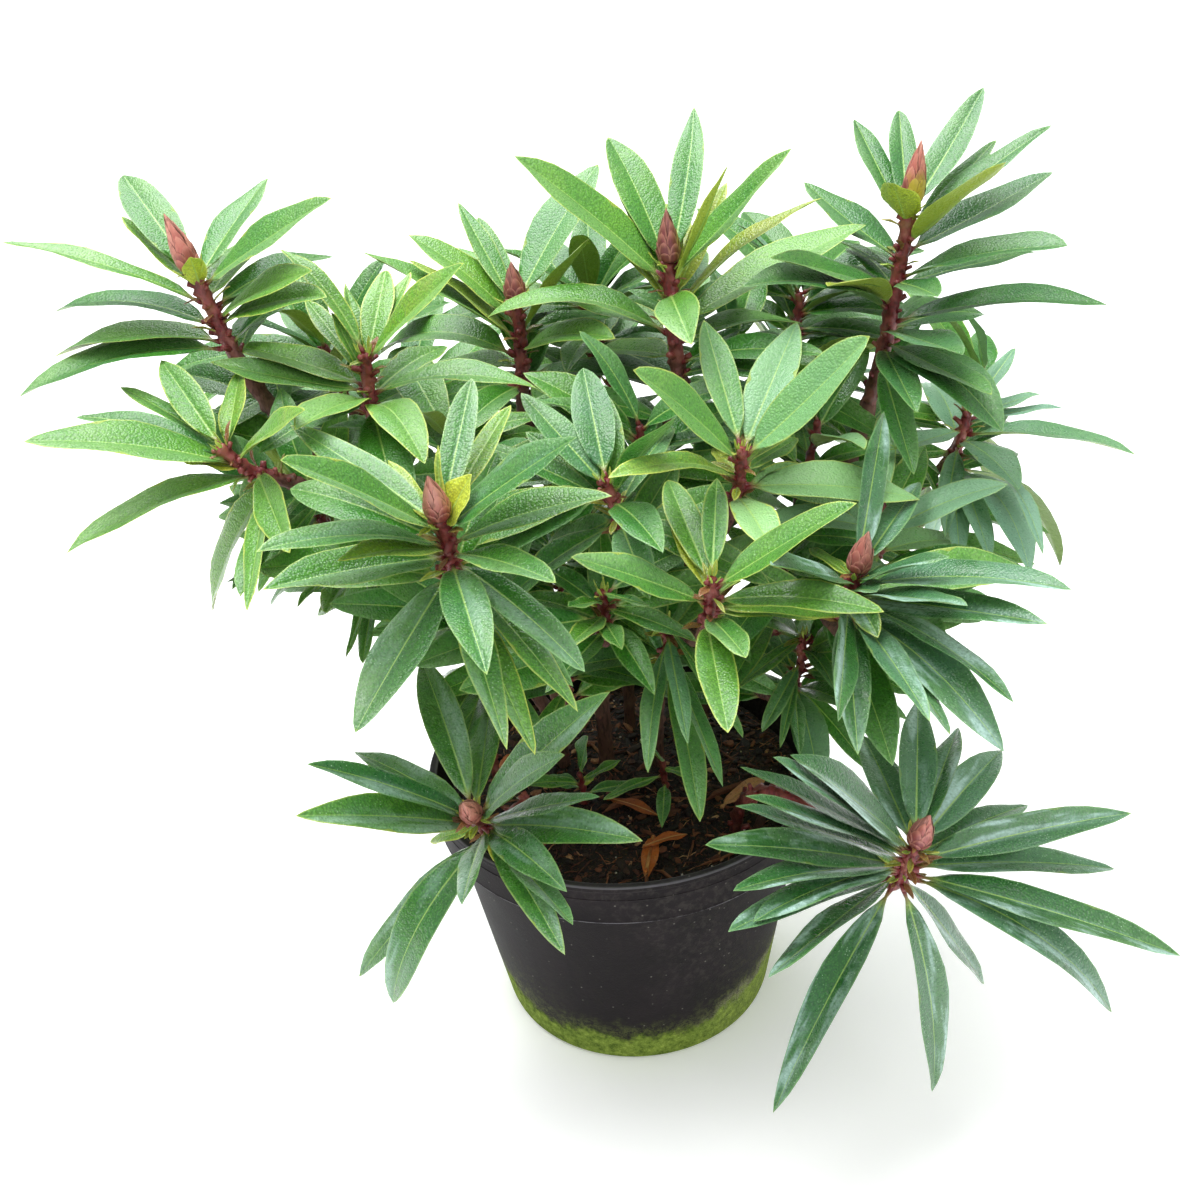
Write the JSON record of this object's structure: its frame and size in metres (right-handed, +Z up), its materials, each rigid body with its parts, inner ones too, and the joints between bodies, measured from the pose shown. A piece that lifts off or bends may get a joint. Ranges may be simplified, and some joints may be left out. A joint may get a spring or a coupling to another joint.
{
  "type": "potted rhododendron",
  "caption": "Potted rhododendron: whorls of long leathery leaves and pointed winter buds on branching woody stems, in a round black plastic nursery pot filled with soil.",
  "frame": {"origin": "centre of the pot's underside, on the surface that the pot stands on", "axes": "+Z up along the pot's axis; +X to the right of the plant's front, which looks along -Y; X is the longest extent"},
  "size_m": [0.5834, 0.4826, 0.4919],
  "materials": {
    "pot": "matte",
    "soil": "matte",
    "wood": "matte",
    "leaf": "satin",
    "bud": "matte",
    "dry_leaf": "matte"
  },
  "bodies": {
    "root": {"bud_A": "bud", "bud_D": "bud", "bud_E": "bud", "bud_F": "bud", "bud_G": "bud", "bud_L": "bud", "bud_N": "bud", "bud_O": "bud", "dry_leaf_1": "dry_leaf", "dry_leaf_2": "dry_leaf", "dry_leaf_3": "dry_leaf", "dry_leaf_4": "dry_leaf", "dry_leaf_5": "dry_leaf", "pot": "pot", "shoot_A": "leaf", "shoot_B": "leaf", "shoot_C": "leaf", "shoot_D": "leaf", "shoot_E": "leaf", "shoot_F": "leaf", "shoot_G": "leaf", "shoot_H": "leaf", "shoot_I": "leaf", "shoot_J": "leaf", "shoot_K": "leaf", "shoot_L": "leaf", "shoot_M": "leaf", "shoot_N": "leaf", "shoot_O": "leaf", "shoot_P": "leaf", "shoot_Q": "leaf", "shoot_R": "leaf", "shoot_S": "leaf", "shoot_T": "leaf", "shoot_U": "leaf", "shoot_V": "leaf", "shoot_W1": "leaf", "shoot_W2": "leaf", "shoot_W3": "leaf", "shoot_W4": "leaf", "shoot_W5": "leaf", "shoot_X1": "leaf", "shoot_X10": "leaf", "shoot_X11": "leaf", "shoot_X12": "leaf", "shoot_X2": "leaf", "shoot_X3": "leaf", "shoot_X4": "leaf", "shoot_X5": "leaf", "shoot_X6": "leaf", "shoot_X7": "leaf", "shoot_X8": "leaf", "shoot_X9": "leaf", "soil": "soil", "stem_back": "wood", "stem_centre": "wood", "stem_far_right": "wood", "stem_left": "wood", "stem_right": "wood"}
  },
  "joints": []
}
